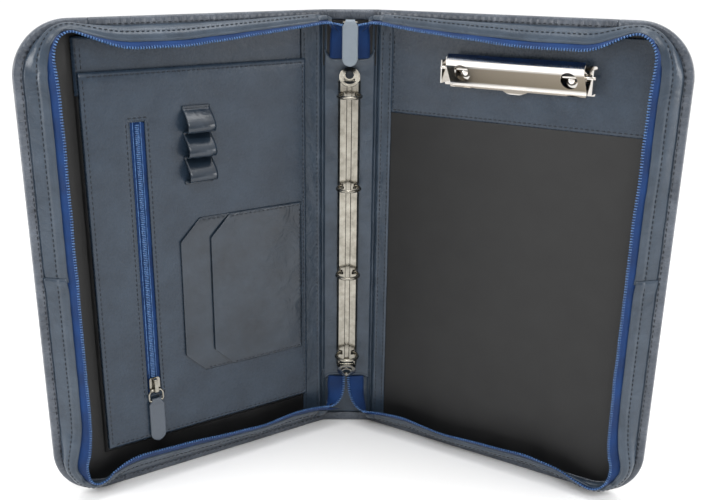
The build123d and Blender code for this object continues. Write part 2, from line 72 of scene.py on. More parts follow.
# ------------------------------------------------------------------ the case's own measures, in millimetres
# "side" is -1 for the left cover and 1 for the right. On a cover, u is the distance from its fold and
# negative on the spine, z is the height, and n is the distance inwards from the outer face.
MM = 0.001
joints = {joint["name"]: joint for joint in frame["record"]["behaviour"]["joints"]}
fold_angle = math.radians(joints["right_cover_fold"]["range_deg"][1])
fold_x = joints["right_cover_fold"]["pos_m"][0] / MM
back_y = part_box("spine_leather")[1][1] / MM
height = cad_bounds[1][2] / MM
cover_width = 256.0
corner_radius = 42.0
binding_width = 8.0
lining_n, panel_n, leaf_n = 4.0, 4.8, 12.6
leaf_u = (24.0, 213.0)
leaf_z = (39.0, 346.0)
slot_u, slot_half, slot_z = 171.5, 6.5, (79.0, 308.0)
band_z = 300.0
bend_width = 4.0
cover_body = {-1: "left_cover", 1: "right_cover"}
side_name = {-1: "left", 1: "right"}


def place(side, u, z, n, bend=bend_width):
    """Row-frame point, in metres, of a point on the case, bent smoothly round the fold line."""
    tangent = bend * 1.026
    radius = tangent / math.tan(fold_angle / 2)
    turn = fold_angle * min(1.0, max(0.0, (u + bend) / (2 * bend)))
    before, after = min(u + bend, 0.0), max(u - bend, 0.0)
    x = fold_x - tangent + before + radius * math.sin(turn) + after * math.cos(turn)
    y = -radius * (1 - math.cos(turn)) - after * math.sin(turn)
    x, y = x - n * math.sin(turn), y - n * math.cos(turn)
    return Vector((side * x, back_y + y, z)) * MM


def ride_or_bend(piece, body):
    """Rides on a body, or, when body is "fold", is left unparented with its transform baked into its points."""
    if body == "fold":
        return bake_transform(piece)
    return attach(piece, body)


def outline(s):
    """A cover's edge: position and inward direction at distance s from the fold along its bottom edge."""
    flat, arc = cover_width - corner_radius, corner_radius * math.pi / 2
    upright = height - 2 * corner_radius
    if s < flat:
        return s, 0.0, 0.0, 1.0
    if s < flat + arc:
        a = (s - flat) / corner_radius
        out, down = math.sin(a), math.cos(a)
        return flat + corner_radius * out, corner_radius * (1 - down), -out, down
    if s < flat + arc + upright:
        return cover_width, corner_radius + s - flat - arc, -1.0, 0.0
    if s < flat + 2 * arc + upright:
        a = (s - flat - arc - upright) / corner_radius
        out, up = math.cos(a), math.sin(a)
        return flat + corner_radius * out, height - corner_radius * (1 - up), -out, -up
    return flat - (s - flat - 2 * arc - upright), height, 0.0, -1.0


outline_length = 2 * (cover_width - corner_radius) + math.pi * corner_radius + height - 2 * corner_radius


def on_outline(side, s, inset, n, bend=bend_width):
    u, z, du, dz = outline(s)
    return place(side, u + du * inset, z + dz * inset, n, bend)


def corner_weight(s):
    """1 in the middle of a rounded corner, falling to 0 on the straights."""
    flat, arc = cover_width - corner_radius, corner_radius * math.pi / 2
    middles = (flat + arc / 2, outline_length - flat - arc / 2)
    return max(math.exp(-((s - m) / 30.0) ** 2) for m in middles)


def smooth_line(points, steps=6):
    """A Catmull-Rom curve through a few points."""
    pts = [Vector(p) for p in points]
    pts = [2 * pts[0] - pts[1]] + pts + [2 * pts[-1] - pts[-2]]
    line = []
    for a, b, c, d in zip(pts, pts[1:], pts[2:], pts[3:]):
        for k in range(steps):
            t = k / steps
            line.append(0.5 * (2 * b + (c - a) * t + (2 * a - 5 * b + 4 * c - d) * t * t
                               + (3 * b - a - 3 * c + d) * t ** 3))
    line.append(pts[-2])
    return line


def wave(x, y, scale, seed=0.0):
    """Smooth noise from -1 to 1 over a length scale."""
    return noise.noise(Vector((x / scale, y / scale, seed)))


# ------------------------------------------------------------------ materials
def new_material(name):
    material = bpy.data.materials.new(name)
    material.use_nodes = True
    nodes, links = material.node_tree.nodes, material.node_tree.links
    return material, nodes, links, nodes["Principled BSDF"]


def texture(nodes, links, kind, vector, scale, **settings):
    node = nodes.new(kind)
    for key, value in settings.items():
        if key in node.inputs:
            node.inputs[key].default_value = value
        else:
            setattr(node, key, value)
    node.inputs["Scale"].default_value = scale
    links.new(vector, node.inputs["Vector"])
    return node


def ramp(nodes, links, value, low, high, start=0.3, end=0.7):
    node = nodes.new("ShaderNodeValToRGB")
    node.color_ramp.elements[0].position, node.color_ramp.elements[1].position = start, end
    node.color_ramp.elements[0].color = (*low, 1) if len(low) == 3 else low
    node.color_ramp.elements[1].color = (*high, 1) if len(high) == 3 else high
    links.new(value, node.inputs[0])
    return node.outputs["Color"]


def bump(nodes, links, height_value, strength, distance, after=None):
    node = nodes.new("ShaderNodeBump")
    node.inputs["Strength"].default_value = strength
    node.inputs["Distance"].default_value = distance
    links.new(height_value, node.inputs["Height"])
    if after is not None:
        links.new(after, node.inputs["Normal"])
    return node.outputs["Normal"]


def to_range(nodes, links, value, low, high):
    node = nodes.new("ShaderNodeMapRange")
    node.inputs["To Min"].default_value, node.inputs["To Max"].default_value = low, high
    links.new(value, node.inputs["Value"])
    return node.outputs["Result"]


def leather(name, dark, light, rough=(0.26, 0.42), grain=0.35, creases=0.5, coat=0.2, stretch=None):
    """Semi-gloss pebbled leather: mottled colour, fine grain and soft creases."""
    material, nodes, links, shader = new_material(name)
    uv = nodes.new("ShaderNodeTexCoord").outputs["UV"]
    mottle = texture(nodes, links, "ShaderNodeTexNoise", uv, 30.0, Detail=6.0, Roughness=0.66)
    links.new(ramp(nodes, links, mottle.outputs["Fac"], dark, light), shader.inputs["Base Color"])
    pebbles = texture(nodes, links, "ShaderNodeTexVoronoi", uv, 950.0, Randomness=1.0)
    hide = texture(nodes, links, "ShaderNodeTexNoise", uv, 420.0, Detail=3.0)
    drawn = uv
    if stretch:
        mapping = nodes.new("ShaderNodeMapping")
        mapping.inputs["Scale"].default_value = (*stretch, 1.0)
        links.new(uv, mapping.inputs["Vector"])
        drawn = mapping.outputs["Vector"]
    crease = texture(nodes, links, "ShaderNodeTexNoise", drawn, 60.0,
                     Detail=4.0, Roughness=0.55, Distortion=0.8)
    first = bump(nodes, links, crease.outputs["Fac"], creases, 0.0012)
    second = bump(nodes, links, hide.outputs["Fac"], grain, 0.00025, first)
    third = bump(nodes, links, pebbles.outputs["Distance"], grain, 0.00012, second)
    links.new(third, shader.inputs["Normal"])
    links.new(to_range(nodes, links, hide.outputs["Fac"], *rough), shader.inputs["Roughness"])
    shader.inputs["Coat Weight"].default_value = coat
    shader.inputs["Coat Roughness"].default_value = 0.3
    shader.inputs["Specular IOR Level"].default_value = 0.38
    return material


def weave(name, dark, light, threads, sheen, rough=0.75, depth=0.0002, gloss=0.5):
    """Woven cloth or zip tape: two crossed sets of threads, with a soft sheen."""
    material, nodes, links, shader = new_material(name)
    uv = nodes.new("ShaderNodeTexCoord").outputs["UV"]
    warp = texture(nodes, links, "ShaderNodeTexWave", uv, threads, bands_direction="X", Distortion=0.4)
    weft = texture(nodes, links, "ShaderNodeTexWave", uv, threads, bands_direction="Y", Distortion=0.4)
    patch = texture(nodes, links, "ShaderNodeTexNoise", uv, 45.0, Detail=4.0)
    links.new(ramp(nodes, links, patch.outputs["Fac"], dark, light), shader.inputs["Base Color"])
    first = bump(nodes, links, warp.outputs["Fac"], 0.5, depth)
    second = bump(nodes, links, weft.outputs["Fac"], 0.5, depth, first)
    links.new(second, shader.inputs["Normal"])
    roughness = to_range(nodes, links, patch.outputs["Fac"], rough - 0.1, rough + 0.08)
    links.new(roughness, shader.inputs["Roughness"])
    shader.inputs["Specular IOR Level"].default_value = gloss
    shader.inputs["Sheen Weight"].default_value = sheen
    shader.inputs["Sheen Roughness"].default_value = 0.4
    return material


def metal(name, dark, light, rough):
    """Bright plate with faint handling marks."""
    material, nodes, links, shader = new_material(name)
    place_on = nodes.new("ShaderNodeTexCoord").outputs["Object"]
    smear = texture(nodes, links, "ShaderNodeTexNoise", place_on, 160.0, Detail=6.0, Roughness=0.6)
    links.new(ramp(nodes, links, smear.outputs["Fac"], dark, light), shader.inputs["Base Color"])
    links.new(to_range(nodes, links, smear.outputs["Fac"], *rough), shader.inputs["Roughness"])
    links.new(bump(nodes, links, smear.outputs["Fac"], 0.08, 0.0002), shader.inputs["Normal"])
    shader.inputs["Metallic"].default_value = 1.0
    return material


def jaw_metal_painted_reflections():
    """The clip's jaw: painted highlight bands on the folded edges, and a painted brown reflection on the plate
    between them, set by height.
    """
    material = metal("chrome_jaw_painted_reflections", (0.7, 0.67, 0.63), (0.85, 0.83, 0.8), (0.06, 0.14))
    nodes, links = material.node_tree.nodes, material.node_tree.links
    way = nodes.new("ShaderNodeSeparateXYZ")
    links.new(nodes.new("ShaderNodeTexCoord").outputs["Object"], way.inputs[0])
    # Height mask for the painted bands: painted highlight on the top flange and bottom lip, painted reflection of the
    # brown room on the plate between.
    tall = nodes.new("ShaderNodeMapRange")
    tall.inputs["From Min"].default_value, tall.inputs["From Max"].default_value = 0.327, 0.349
    links.new(way.outputs["Z"], tall.inputs["Value"])
    bands = nodes.new("ShaderNodeValToRGB")
    # Painted highlight colour for the flanges, and painted brown reflection colour for the plate (two shades of it).
    painted_highlight, painted_room_reflection = (0.84, 0.81, 0.77, 1), (0.24, 0.205, 0.155, 1)
    stops = ((0.0, painted_highlight), (0.15, painted_highlight), (0.22, painted_room_reflection), (0.72, (0.3, 0.26, 0.205, 1)), (0.8, painted_highlight))
    bands.color_ramp.elements[0].color, bands.color_ramp.elements[1].color = painted_highlight, painted_highlight
    for position, colour in stops[1:]:
        bands.color_ramp.elements.new(position).color = colour
    links.new(tall.outputs["Result"], bands.inputs[0])
    links.new(bands.outputs["Color"], nodes["Principled BSDF"].inputs["Base Color"])
    return material


def plain(name, dark, light, rough, scale=300.0):
    """Thread, moulded coil or board: a mottled colour with a fine surface."""
    material, nodes, links, shader = new_material(name)
    place_on = nodes.new("ShaderNodeTexCoord").outputs["Object"]
    fleck = texture(nodes, links, "ShaderNodeTexNoise", place_on, scale, Detail=4.0)
    links.new(ramp(nodes, links, fleck.outputs["Fac"], dark, light), shader.inputs["Base Color"])
    links.new(bump(nodes, links, fleck.outputs["Fac"], 0.2, 0.0002), shader.inputs["Normal"])
    roughness = to_range(nodes, links, fleck.outputs["Fac"], rough - 0.06, rough + 0.06)
    links.new(roughness, shader.inputs["Roughness"])
    return material


navy = leather("navy_leather", (0.014, 0.026, 0.044), (0.034, 0.054, 0.082), (0.24, 0.42), coat=0.12)
navy_smooth = leather("navy_leather_smooth", (0.013, 0.023, 0.038), (0.025, 0.041, 0.064), (0.2, 0.36),
                      creases=0.3, grain=0.25, coat=0.12)
navy_worn = leather("navy_leather_creased", (0.014, 0.025, 0.041), (0.044, 0.065, 0.094), (0.22, 0.42),
                    creases=1.0, coat=0.22)
edge_worn = leather("navy_leather_gathered", (0.02, 0.028, 0.042), (0.1, 0.118, 0.148), (0.2, 0.38),
                    creases=1.0, coat=0.4, stretch=(1.0, 6.0))
navy_gloss = leather("navy_leather_polished", (0.006, 0.012, 0.021), (0.019, 0.032, 0.05), (0.13, 0.27),
                     grain=0.2, creases=0.7, coat=0.45)
main_pull_leather = leather("main_pull_leather", (0.17, 0.205, 0.245), (0.22, 0.26, 0.3),
                            creases=0.1, grain=0.15)
pocket_pull_leather = leather("pocket_pull_leather", (0.06, 0.074, 0.095), (0.08, 0.096, 0.12),
                              creases=0.1, grain=0.15)
black_cloth = weave("black_lining", (0.007, 0.0072, 0.0076), (0.012, 0.0122, 0.0126), 520.0, 0.03, 0.4,
                    0.0001, 0.4)
blue_tape = weave("blue_zip_tape", (0.002, 0.018, 0.075), (0.004, 0.036, 0.145), 420.0, 0.06, 0.7, 0.0002, 0.25)
coil_blue = plain("zip_coil_blue", (0.008, 0.04, 0.14), (0.09, 0.2, 0.42), 0.3, 600.0)
navy_thread = plain("navy_thread", (0.005, 0.008, 0.013), (0.012, 0.017, 0.026), 0.6, 2000.0)
greyboard = plain("greyboard", (0.3, 0.28, 0.24), (0.42, 0.39, 0.34), 0.9)
nickel = metal("nickel_plate", (0.22, 0.205, 0.175), (0.4, 0.38, 0.33), (0.1, 0.22))
chrome = metal("chrome_plate", (0.68, 0.65, 0.61), (0.82, 0.8, 0.77), (0.05, 0.13))
spring_steel = metal("spring_steel", (0.3, 0.3, 0.3), (0.45, 0.45, 0.45), (0.3, 0.5))

# ------------------------------------------------------------------ mesh tools
def finish_object(name, mesh, material):
    piece = bpy.data.objects.new(name, mesh)
    bpy.context.scene.collection.objects.link(piece)
    mesh.materials.append(material)
    for polygon in mesh.polygons:
        polygon.use_smooth = True
    return piece


def grid_piece(name, rows, material, thickness=0.0, inwards=True, loop=False, skip=None, uv=None):
    """A sheet through rows of points in metres, given thickness in millimetres. loop closes each row."""
    count = len(rows[0])
    verts = [p for row in rows for p in row]
    faces, across = [], count if loop else count - 1
    for i in range(len(rows) - 1):
        for j in range(across):
            if skip and skip(i, j):
                continue
            k = (j + 1) % count
            faces.append((i * count + j, i * count + k, (i + 1) * count + k, (i + 1) * count + j))
    if loop:
        faces += [tuple(range(count - 1, -1, -1)), tuple(len(verts) - count + j for j in range(count))]
    mesh = bpy.data.meshes.new(name)
    mesh.from_pydata(verts, [], faces)
    if uv is None:
        down = np.cumsum([0] + [(rows[i + 1][0] - rows[i][0]).length for i in range(len(rows) - 1)])
        middle = rows[len(rows) // 2]
        along = np.cumsum([0] + [(middle[(j + 1) % count] - middle[j]).length for j in range(count)])
        uv = [(along[j], down[i]) for i in range(len(rows)) for j in range(count)]
    layer = mesh.uv_layers.new(name="UVMap")
    for polygon in mesh.polygons:
        for corner in polygon.loop_indices:
            layer.data[corner].uv = uv[mesh.loops[corner].vertex_index]
    mesh.validate()
    piece = finish_object(name, mesh, material)
    if skip:
        drop_loose(piece)
    if thickness:
        solid = piece.modifiers.new("thickness", "SOLIDIFY")
        solid.thickness, solid.offset = thickness * MM, -1.0 if inwards else 1.0
        solid.use_even_offset = True
    return piece


def drop_loose(piece):
    """Removes the points that no face uses."""
    used = sorted({i for polygon in piece.data.polygons for i in polygon.vertices})
    if len(used) == len(piece.data.vertices):
        return
    shape = bmesh.new()
    shape.from_mesh(piece.data)
    spare = [v for v in shape.verts if not v.link_faces]
    bmesh.ops.delete(shape, geom=spare, context="VERTS")
    shape.to_mesh(piece.data)
    shape.free()


def spread(start, end, step, fine=(), reach=4.0, fine_step=0.8):
    """Lines from start to end, closer together near both ends and near each fine place."""
    marks, x = [start], start
    while x < end:
        near = min([x - start, end - x] + [abs(x - f) for f in fine])
        x += fine_step if near < reach else step
        marks.append(min(x, end))
    if marks[-1] - marks[-2] < fine_step * 0.4:
        marks.pop(-2)
    return marks


def edge_fall(distance, width=2.2, drop=0.7):
    """How far a turned leather edge falls away, near it."""
    if distance >= width:
        return 0.0
    t = 1 - distance / width
    return drop * t * t


def panel(name, side, us, zs, lift, material, thickness, body, end=None, skip=None, skirt=None):
    """A sheet on a cover. lift(u, z) is its n, and end(z) its outer edge where that changes with height."""
    if skirt is not None:
        us, zs = [us[0]] + list(us) + [us[-1]], [zs[0]] + list(zs) + [zs[-1]]
    first, last = us[0], us[-1]
    rows, uv = [], []
    for i, z in enumerate(zs):
        limit = end(z) if end else last
        row = []
        for j, u in enumerate(us):
            v = first + (u - first) * (limit - first) / (last - first)
            hem = skirt is not None and (i in (0, len(zs) - 1) or j in (0, len(us) - 1))
            row.append(place(side, v, z, skirt if hem else lift(v, z)))
            uv.append((v * MM, z * MM))
        rows.append(row)
    if side < 0:
        rows = [row[::-1] for row in rows]
        uv = [uv[i * len(us) + len(us) - 1 - j] for i in range(len(zs)) for j in range(len(us))]

    def cut(i, j):
        column = j if side > 0 else len(us) - 2 - j
        return skip(us[column], zs[i], us[column + 1], zs[i + 1])

    piece = grid_piece(name, rows, material, thickness, True, False, cut if skip else None, uv)
    ride_or_bend(piece, body)
    return piece


def tube_faces(base, rings, sides):
    """Faces of a tube whose points start at base, ring after ring."""
    faces = []
    for ring in range(rings - 1):
        low, high = base + ring * sides, base + (ring + 1) * sides
        for k in range(sides):
            m = (k + 1) % sides
            faces.append((low + k, low + m, high + m, high + k))
    faces.append(tuple(base + k for k in range(sides - 1, -1, -1)))
    faces.append(tuple(base + (rings - 1) * sides + k for k in range(sides)))
    return faces


def stitches(name, side, line, body, length=2.8, gap=1.3, radius=0.36, material=None, sink=0.0):
    """A row of thread stitches along (u, z, n) points, one small capsule for each."""
    pts = [place(side, *p) for p in line]
    runs = np.cumsum([0] + [(b - a).length / MM for a, b in zip(pts, pts[1:])])
    u, z, n = line[0]
    normal = place(side, u + 0.01, z, n + 1) - place(side, u + 0.01, z, n)
    verts, faces, start = [], [], 0.8
    coords = np.array([list(p) for p in pts])

    def at(distance):
        return Vector([float(np.interp(distance, runs, coords[:, k])) for k in range(3)])

    while start + length < runs[-1]:
        a, b = at(start), at(start + length)
        way = (b - a).normalized()
        up = (normal - way * normal.dot(way)).normalized()
        cross = way.cross(up)
        base = len(verts)
        shape = ((0.0, 0.25), (0.12, 0.75), (0.3, 1.0), (0.7, 1.0), (0.88, 0.75), (1.0, 0.25))
        for t, r in shape:
            centre = a.lerp(b, t) + up * (math.sin(math.pi * t) * 0.3 - sink - 0.15) * MM
            for k in range(6):
                angle = math.tau * k / 6
                verts.append(centre + (up * math.sin(angle) * 0.8 + cross * math.cos(angle)) * r * radius * MM)
        faces += tube_faces(base, len(shape), 6)
        start += length + gap
    mesh = bpy.data.meshes.new(name)
    mesh.from_pydata(verts, [], faces)
    piece = finish_object(name, mesh, material or navy_thread)
    ride_or_bend(piece, body)
    return piece


# ------------------------------------------------------------------ camera, lights and floor
def look():
    """The camera stands in front of the case, a little above it, and looks down at its middle."""
    pitch, roll = math.radians(18.503), math.radians(0.2335)
    forward = Vector((0, math.cos(pitch), -math.sin(pitch)))
    right = Vector((1, 0, 0))
    up = right.cross(forward)
    turned_right = right * math.cos(roll) + up * math.sin(roll)
    turned_up = up * math.cos(roll) - right * math.sin(roll)
    data = bpy.data.cameras.new("camera")
    data.sensor_width, data.lens = 36.0, 45.25
    data.shift_x, data.shift_y = 0.0292, -0.0033
    data.clip_end = 20
    camera = bpy.data.objects.new("camera", data)
    bpy.context.scene.collection.objects.link(camera)
    turn = Matrix((turned_right, turned_up, -forward)).transposed()
    camera.matrix_world = Matrix.Translation(Vector((-15.5, -761.5 + back_y, 428.8)) * MM) @ turn.to_4x4()
    bpy.context.scene.camera = camera


def area_light(name, location, target, size, power, colour=(1, 1, 1)):
    data = bpy.data.lights.new(name, "AREA")
    data.shape, data.size, data.size_y = "RECTANGLE", *size
    data.energy, data.color = power, colour
    light = bpy.data.objects.new(name, data)
    light.location = location
    light.rotation_euler = (Vector(target) - Vector(location)).to_track_quat("-Z", "Y").to_euler()
    bpy.context.scene.collection.objects.link(light)


def sky():
    """A white studio behind and above, and a softer, warmer light in front."""
    world = bpy.data.worlds.new("studio")
    bpy.context.scene.world = world
    world.use_nodes = True
    nodes, links = world.node_tree.nodes, world.node_tree.links
    way = nodes.new("ShaderNodeSeparateXYZ")
    links.new(nodes.new("ShaderNodeTexCoord").outputs["Generated"], way.inputs[0])
    behind = nodes.new("ShaderNodeMapRange")
    behind.inputs["From Min"].default_value, behind.inputs["From Max"].default_value = -0.15, 0.25
    links.new(way.outputs["Y"], behind.inputs["Value"])
    above = nodes.new("ShaderNodeMapRange")
    above.inputs["From Min"].default_value, above.inputs["From Max"].default_value = 0.25, 0.8
    links.new(way.outputs["Z"], above.inputs["Value"])
    most = nodes.new("ShaderNodeMath")
    most.operation = "MAXIMUM"
    links.new(behind.outputs["Result"], most.inputs[0])
    links.new(above.outputs["Result"], most.inputs[1])
    colour = ramp(nodes, links, most.outputs["Value"], (0.34, 0.315, 0.285), (1.0, 1.0, 1.0), 0.0, 1.0)
    links.new(colour, nodes["Background"].inputs["Color"])
    nodes["Background"].inputs["Strength"].default_value = 1.25


def studio():
    area_light("right_side", (1.75, -0.5, 0.55), (-0.1, 0.02, 0.2), (0.8, 0.8), 11)
    area_light("left_side", (-1.75, -0.5, 0.55), (0.1, 0.02, 0.2), (0.8, 0.8), 14)
    area_light("front", (0.0, -1.15, 1.35), (0, 0, 0.2), (0.8, 0.4), 8)
    area_light("top", (0.1, -0.1, 1.5), (0, 0, 0.2), (1.0, 0.5), 6)
    sky()
    floor_material, nodes, links, shader = new_material("pale_floor")
    shader.inputs["Base Color"].default_value = (0.97, 0.97, 0.97, 1)
    shader.inputs["Roughness"].default_value = 0.8
    mesh = bpy.data.meshes.new("floor")
    mesh.from_pydata([(-30, -30, 0), (30, -30, 0), (30, 30, 0), (-30, 30, 0)], [], [(0, 1, 2, 3)])
    finish_object("floor", mesh, floor_material)
    bpy.context.scene.view_settings.view_transform = "Standard"


look()
studio()

# ------------------------------------------------------------------ outer leather, one half for each side
def corner_end(inset):
    """Outer edge of a cover's sheet as a function of height, with rounded corners."""
    radius, edge = corner_radius - inset, cover_width - inset

    def end(z):
        near = min(z - inset, height - inset - z)
        if near >= radius:
            return edge
        drop = radius - max(near, 0.0)
        return edge - radius + math.sqrt(max(radius * radius - drop * drop, 0.0))
    return end


def tall_lines(inset, step=9.0):
    """Heights for a cover's sheet, closer together round the corners."""
    radius = corner_radius - inset
    low = [inset + radius * (1 - math.cos(math.pi / 2 * k / 10)) for k in range(11)]
    count = int((height - 2 * corner_radius) / step)
    middle = [corner_radius + (height - 2 * corner_radius) * k / count for k in range(1, count)]
    return low + middle + [height - z for z in low[::-1]]


def outer_leather(side):
    us = [-23.0] + list(np.arange(-21, 12, 1.0)) + list(np.arange(12, 256, 6.0)) + [cover_width - 1]
    rows, uv = [], []
    zs, end = tall_lines(1.0), corner_end(1.0)
    for z in zs:
        limit = end(z)
        for u in us:
            v = u if u <= 0 else u * limit / (cover_width - 1)
            groove = 0.9 * math.exp(-((abs(v) - 5.5) / 1.6) ** 2)
            n = -0.35 + groove + 0.12 * wave(v, z, 60, 3.1 + side)
            rows.append(place(side, v, z, n))
            uv.append((v * MM, z * MM))
    wide = len(us)
    rows = [rows[i * wide:(i + 1) * wide] for i in range(len(zs))]
    if side > 0:
        rows = [row[::-1] for row in rows]
        uv = [uv[i * wide + wide - 1 - j] for i in range(len(zs)) for j in range(wide)]
    piece = grid_piece(f"{side_name[side]}_outer_leather", rows, navy_smooth, 1.4, True, uv=uv)
    ride_or_bend(piece, "fold")
    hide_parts(f"{side_name[side]}_leather", "spine_leather")


# ------------------------------------------------------------------ binding
def binding(name, side, start, stop, replaced, body, seed):
    """A gathered strip wrapped round the edge, from s = start to stop."""
    section = (
        (8.3, -0.1), (8.0, -0.75), (6.6, -0.85), (4.2, -1.0), (1.6, -0.95), (0.35, -0.35), (0.0, 0.9),
        (0.0, 3.1), (0.35, 4.5), (1.6, 5.15), (4.2, 5.3), (6.3, 5.05), (6.9, 4.95), (8.0, 5.0), (8.35, 4.3),
    )
    rows = []
    count = max(4, int((stop - start) / 1.1))
    random.seed(seed)
    phase = 0.0
    for i in range(count + 1):
        s = start + (stop - start) * i / count
        phase += random.uniform(0.7, 1.7)
        gather = (0.3 + 0.3 * corner_weight(s)) * math.sin(phase) * (0.5 + 1.2 * abs(wave(s, 0, 17, seed)))
        taper = min(1.0, (i + 0.4) / 2.0, (count - i + 0.4) / 2.0)
        row = []
        for inset, n in section:
            share = min(1.0, max(0.0, inset / 3.0))
            inside = n > 2
            puff = gather * share * (1 if inside else 0.5)
            middle = 2.1
            depth = middle + (n - middle) * (0.93 + 0.07 * taper) + (puff if inside else -puff)
            row.append(on_outline(side, s, inset + (1 - taper) * 0.15, depth))
        rows.append(row if side > 0 else row[::-1])
    piece = grid_piece(name, rows, edge_worn, loop=True)
    ride_or_bend(piece, body)
    if replaced:
        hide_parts(replaced)
    return piece


def bindings(side):
    name = side_name[side]
    flat = cover_width - corner_radius - 14
    spans = (
        ("bottom", 5.0, flat),
        ("side", flat + 0.3, outline_length - flat - 0.3),
        ("top", outline_length - flat, outline_length - 5.0),
    )
    for k, (where, start, stop) in enumerate(spans):
        replaced, seed = f"{name}_{where}_binding", 10 * k + side
        binding(f"{name}_{where}_edge", side, start, stop, replaced, cover_body[side], seed)
    for where, start, stop in (("bottom", -3.5, 5.2), ("top", outline_length - 5.2, outline_length + 3.5)):
        binding(f"{name}_{where}_edge_fold", side, start, stop, None, "fold", 77 + side)
    for face, n in (("inner", 5.3), ("outer", -1.0)):
        for where, start, stop in spans:
            line = []
            for s in np.arange(start, stop, 3.0):
                u, z, du, dz = outline(s)
                line.append((u + du * 5.0, z + dz * 5.0, n))
            stitches(f"{name}_{where}_edge_stitches_{face}", side, line, cover_body[side], 2.9, 1.4, 0.36,
                     sink=0.0 if face == "inner" else 0.2)


def spine_edges():
    """The spine's own binding, above and below."""
    section = (
        (8.3, -0.1), (8.0, -0.75), (4.2, -0.95), (0.4, -0.4), (0.0, 0.9),
        (0.0, 3.1), (0.4, 4.5), (1.6, 5.1), (4.2, 5.25), (6.3, 5.1), (6.9, 4.95), (8.0, 5.0), (8.35, 4.3),
    )
    for where, up in (("top", -1), ("bottom", 1)):
        rows = []
        edge = height if up < 0 else 0.0
        for i in range(41):
            x = -20.0 + i
            puff = 0.12 * wave(x, 0, 2.0, up)
            rows.append([Vector((x, back_y - (n + (puff if n > 2 else 0)), edge + up * inset)) * MM
                         for inset, n in section])
        if up > 0:
            rows = [row[::-1] for row in rows]
        piece = grid_piece(f"spine_{where}_edge", rows, edge_worn, loop=True)
        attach(piece, "spine")
        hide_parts("spine_bindings")


# ------------------------------------------------------------------ gusset and zip
# How far the zip's teeth stand in from the outer edge, at distances along it from the bottom of the fold.
rim_inset = {
    -1: ((0, 25), (24, 27), (42, 28), (73, 24), (99, 26), (166, 30), (193, 31), (208, 26), (224, 16), (236, 10.5),
         (255, 17), (280, 23.5), (300, 26.5), (450, 26.5), (520, 26.5), (563, 26.5), (595, 25), (613, 18), (628, 9.5),
         (638, 6), (648, 9), (661, 15), (680, 21), (725, 22), (772, 17.5), (842, 10.5), (860, 9)),
    1: ((0, 20), (24, 22), (48, 24), (85, 19.5), (163, 24), (192, 20.5), (212, 12.5), (227, 9), (243, 13),
        (264, 19.5), (292, 24.7), (350, 25.6), (480, 25.5), (513, 24.5), (558, 24.5), (588, 23.5), (604, 20),
        (618, 12.5), (632, 7.5), (645, 8), (657, 14), (673, 21.5), (723, 21.5), (792, 16), (842, 10.5), (860, 9)),
}
# The zip's two ends, as (u, z, n) from the slot in the spine to the cover: first the teeth, then the other edge.
top_teeth = ((-21.4, 344, 6.2), (-21.4, 352, 9.5), (-21.3, 360, 11.3), (-20.8, 367.5, 11.9), (-18.6, 371, 13.2),
             (-12, 373, 16), (-4, 374, 19), (6, 374.4, 21), (16, 374, 21.8))
top_edge = ((-6, 344, 5.4), (-6, 352, 7.2), (-6.2, 358, 8.4), (-6.5, 364, 9), (-7, 369, 9.6),
            (-4.5, 372.5, 11), (0, 374.4, 12.5), (8, 375.2, 14), (16, 375, 15.2))
bottom_teeth = {
    -1: ((-20.6, 48, 5.6), (-20.4, 41, 9.5), (-19.2, 33, 14), (-14.5, 26, 18), (-8, 23, 20),
         (0, 22.8, 21.2), (12, 25, 21.8)),
    1: ((-21.2, 48, 5.6), (-20.8, 41, 8), (-19.6, 32, 11.5), (-15.5, 23.5, 15.5), (-9, 18.5, 18.8),
        (0, 17.3, 20.8), (12, 19.6, 21.6)),
}
bottom_edge = {
    -1: ((-6, 48, 5.4), (-5, 41, 9.6), (-5.6, 33, 12), (-4.5, 25, 12.5), (-1, 19, 13.2), (5, 17.4, 14.3),
         (13, 19, 15.2)),
    1: ((-6.5, 48, 5.4), (-6.5, 40, 7.4), (-6.2, 30, 9), (-4.4, 21.5, 11), (-0.5, 15.5, 12.6), (6, 13.8, 14),
        (13, 15, 15)),
}


def rim(side, s):
    """The teeth's inset at s, smoothed between the given places."""
    xs, ys = zip(*rim_inset[side])
    weight = 0.2
    return sum(weight * float(np.interp(s + reach, xs, ys)) for reach in (-7, -3.5, 0, 3.5, 7))


def seam(side, s):
    """Inset of the seam between the gusset and the zip tape."""
    return binding_width + (rim(side, s) - binding_width) * (0.66 - 0.3 * math.exp(-((s - 262) / 28) ** 2))


teeth_n, seam_n, foot_n = 21.8, 15.6, 5.1


def zip_lines(side):
    """The tape's two edges as (u, z, n) points, from the top slot round the cover to the bottom slot."""
    start, stop = 20.0, outline_length - 22.0
    inner, outer = [], []
    for s in np.arange(stop, start, -3.0):
        u, z, du, dz = outline(s)
        a, b = rim(side, s), seam(side, s)
        flutter = 0.5 * wave(s, 0, 26, 4.0 + side)
        a += flutter
        inner.append(Vector((u + du * a, z + dz * a, teeth_n + 0.5 * wave(s, 9, 40, side))))
        outer.append(Vector((u + du * b, z + dz * b, seam_n)))
    lines = []
    for main, top, bottom in ((inner, top_teeth, bottom_teeth[side]), (outer, top_edge, bottom_edge[side])):
        head = smooth_line(list(top) + [tuple(main[2])], 5)[:-1]
        tail = smooth_line([tuple(main[-2])] + list(bottom)[::-1], 5)[1:]
        lines.append(head + main[2:-1] + tail)
    return lines


def zip_tape(side):
    teeth, other = zip_lines(side)
    rows = []
    for a, b in zip(teeth, other):
        row = []
        for k in range(7):
            t = k / 6
            p = a.lerp(b, t)
            belly = 0.5 * math.sin(math.pi * t)
            row.append(place(side, p.x, p.y, p.z + belly))
        rows.append(row if side > 0 else row[::-1])
    piece = grid_piece(f"{side_name[side]}_tape", rows, blue_tape, 0.7, True)
    ride_or_bend(piece, "fold")
    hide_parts(f"{side_name[side]}_zip_tape", "zip_top_end", "zip_bottom_end")
    tooth_row(side, teeth, other)


